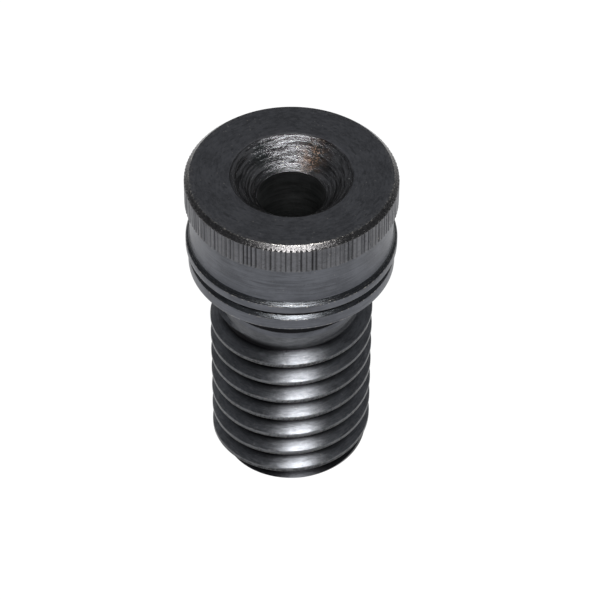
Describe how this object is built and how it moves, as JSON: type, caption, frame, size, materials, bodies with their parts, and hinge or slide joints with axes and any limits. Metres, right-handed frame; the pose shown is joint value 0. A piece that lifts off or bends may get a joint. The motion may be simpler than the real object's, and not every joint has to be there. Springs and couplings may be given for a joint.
{
  "type": "tool holder height adjusting screw",
  "caption": "Hollow knurled-head height adjusting screw for a quick change tool holder: countersunk through bore, double flange, relief neck and coarse outside thread.",
  "frame": {"origin": "centre of the lower end face, on the screw's axis", "axes": "+Z along the screw's axis, from the threaded end to the knurled head; X and Y across it"},
  "size_m": [0.0162, 0.0162, 0.0276],
  "materials": {
    "blackened_steel": "black oxide over turned steel, satin, bright where the edges are rubbed"
  },
  "bodies": {
    "root": {"height_adjusting_screw": "blackened_steel"}
  },
  "joints": []
}
